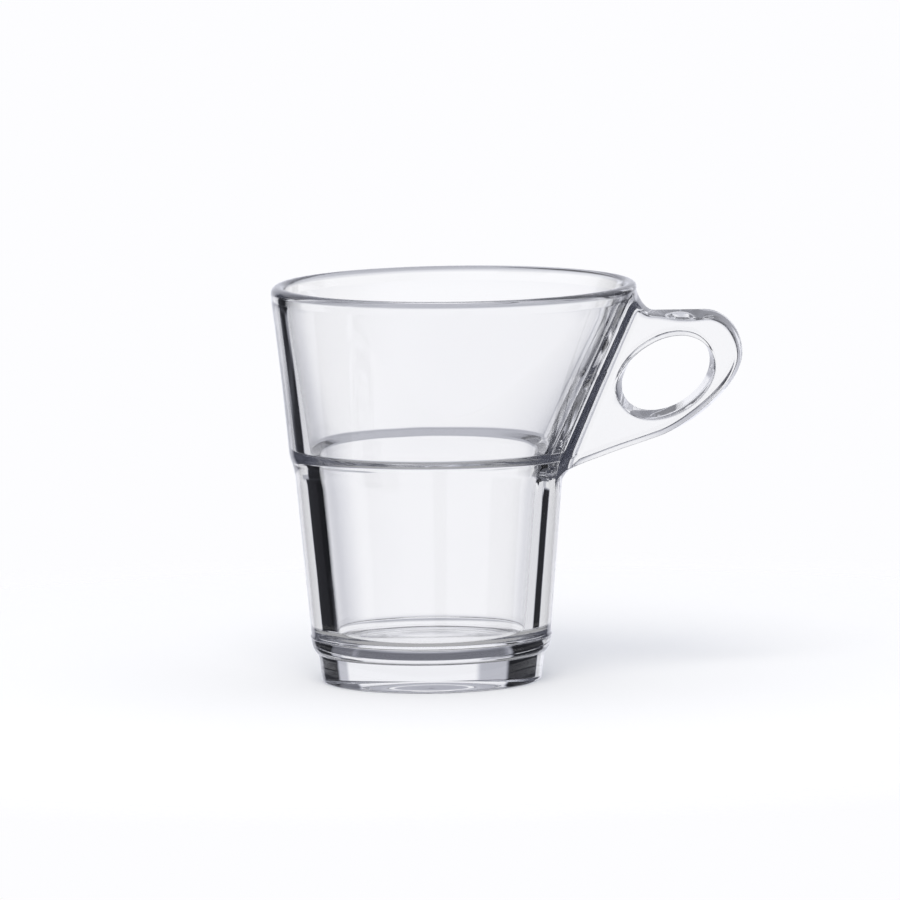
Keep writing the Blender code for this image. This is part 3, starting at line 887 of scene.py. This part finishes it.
def studio_floor():
    """Pale floor that fades out to the white surroundings, sooner where the glass shows it, and keeps the
    cup's shadow. Through glass it glows evenly, less after a turn inside the glass."""
    floor = floor_disc()
    material = bpy.data.materials.new("floor_white")
    material.use_nodes = True
    nodes, links = material.node_tree.nodes, material.node_tree.links
    nodes.clear()
    output = nodes.new("ShaderNodeOutputMaterial")
    paint = nodes.new("ShaderNodeBsdfDiffuse")
    paint.inputs["Color"].default_value = FLOOR_COLOUR
    clear = nodes.new("ShaderNodeBsdfTransparent")
    place = nodes.new("ShaderNodeTexCoord")
    shift = nodes.new("ShaderNodeMapping")
    shift.inputs["Location"].default_value = (-FOOT_AXIS_X * MM, 0.0, 0.0)
    links.new(place.outputs["Object"], shift.inputs["Vector"])
    far = nodes.new("ShaderNodeVectorMath")
    far.operation = "LENGTH"
    links.new(shift.outputs["Vector"], far.inputs[0])

    def fade(near_far):
        """Ease from 0 at the first distance from the foot's axis to 1 at the second."""
        node = nodes.new("ShaderNodeMapRange")
        node.interpolation_type = "SMOOTHSTEP"
        set_inputs(node, {"From Min": near_far[0], "From Max": near_far[1]})
        links.new(far.outputs["Value"], node.inputs["Value"])
        return node.outputs["Result"]

    paths = nodes.new("ShaderNodeLightPath")
    faded = nodes.new("ShaderNodeMix")
    faded.data_type = "FLOAT"
    links.new(paths.outputs["Is Camera Ray"], faded.inputs["Factor"])
    links.new(fade(FLOOR_FADE_THROUGH), faded.inputs["A"])
    links.new(fade(FLOOR_FADE), faded.inputs["B"])
    glow = nodes.new("ShaderNodeEmission")
    glow.inputs["Color"].default_value = WHITE
    turned = math_node(nodes, links, "GREATER_THAN", paths.outputs["Glossy Depth"], ONCE)
    loss = math_node(nodes, links, "MULTIPLY", turned, FLOOR_GLOW_MIRRORED - FLOOR_GLOW)
    links.new(math_node(nodes, links, "ADD", loss, FLOOR_GLOW), glow.inputs["Strength"])
    shown = nodes.new("ShaderNodeMixShader")
    links.new(paths.outputs["Is Transmission Ray"], shown.inputs["Fac"])
    links.new(paint.outputs["BSDF"], shown.inputs[1])
    links.new(glow.outputs["Emission"], shown.inputs[2])
    gone = math_node(nodes, links, "MAXIMUM", faded.outputs["Result"], paths.outputs["Is Reflection Ray"])
    mix = nodes.new("ShaderNodeMixShader")
    links.new(gone, mix.inputs["Fac"])
    links.new(shown.outputs["Shader"], mix.inputs[1])
    links.new(clear.outputs["BSDF"], mix.inputs[2])
    links.new(mix.outputs["Shader"], output.inputs["Surface"])
    floor.data.materials.append(material)


# Lamp, in metres and watts
KEY_PLACE = (-0.2, -1.25, 1.7)
KEY_AIM = (FOOT_AXIS_X * MM, 0.0, 0.02)
KEY_SIZE = 1.2
KEY_POWER = 23.0


def studio_lamp():
    """Large soft lamp in front of the cup and a little to the left, for a shadow behind it on the right."""
    light = bpy.data.lights.new("key", "AREA")
    light.shape = "DISK"
    light.size = KEY_SIZE
    light.energy = KEY_POWER
    lamp = bpy.data.objects.new("key", light)
    bpy.context.scene.collection.objects.link(lamp)
    lamp.location = KEY_PLACE
    aim = np.array(KEY_AIM) - np.array(KEY_PLACE)
    tilt = math.pi / 2 + math.atan2(aim[2], math.hypot(aim[0], aim[1]))
    lamp.rotation_euler = (tilt, 0.0, math.atan2(aim[1], aim[0]) - math.pi / 2)
    lamp.visible_glossy = False
    lamp.visible_transmission = False


# Camera, fitted to the photograph
CAMERA_TARGET = (FOOT_AXIS_X + 3.63, 0.0, 39.3)
CAMERA_DISTANCE = 2300.0
CAMERA_RISE = math.radians(6.6)
CAMERA_ROLL = math.radians(-0.8)
CAMERA_LENS = 540.2
CAMERA_SENSOR = 36.0


def studio_camera():
    """Long lens a little above the rim, looking along +Y, rolled by less than a degree."""
    data = bpy.data.cameras.new("view")
    data.lens = CAMERA_LENS
    data.sensor_width = CAMERA_SENSOR
    camera = bpy.data.objects.new("view", data)
    bpy.context.scene.collection.objects.link(camera)
    back = (0.0, -math.cos(CAMERA_RISE), math.sin(CAMERA_RISE))
    camera.location = [(t + CAMERA_DISTANCE * b) * MM for t, b in zip(CAMERA_TARGET, back)]
    camera.rotation_mode = "XYZ"
    tilt = Matrix.Rotation(math.pi / 2 - CAMERA_RISE, 3, "X")
    camera.rotation_euler = (tilt @ Matrix.Rotation(CAMERA_ROLL, 3, "Z")).to_euler("XYZ")
    bpy.context.scene.camera = camera


# Bounces that light needs to find its way through the glass
ALL_BOUNCES = 64
GLASS_BOUNCES = 48

studio_camera()
studio_world()
studio_floor()
studio_lamp()
cup = join_glass(make_bowl(), make_handle())
cup.data.materials.clear()
cup.data.materials.append(pressed_glass())
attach(cup, "root")
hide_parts("foot", "lower_bowl", "upper_bowl", "rim_ring", "handle")

scene = bpy.context.scene
scene.view_settings.view_transform = "Standard"
scene.cycles.max_bounces = ALL_BOUNCES
scene.cycles.transmission_bounces = GLASS_BOUNCES
scene.cycles.glossy_bounces = GLASS_BOUNCES
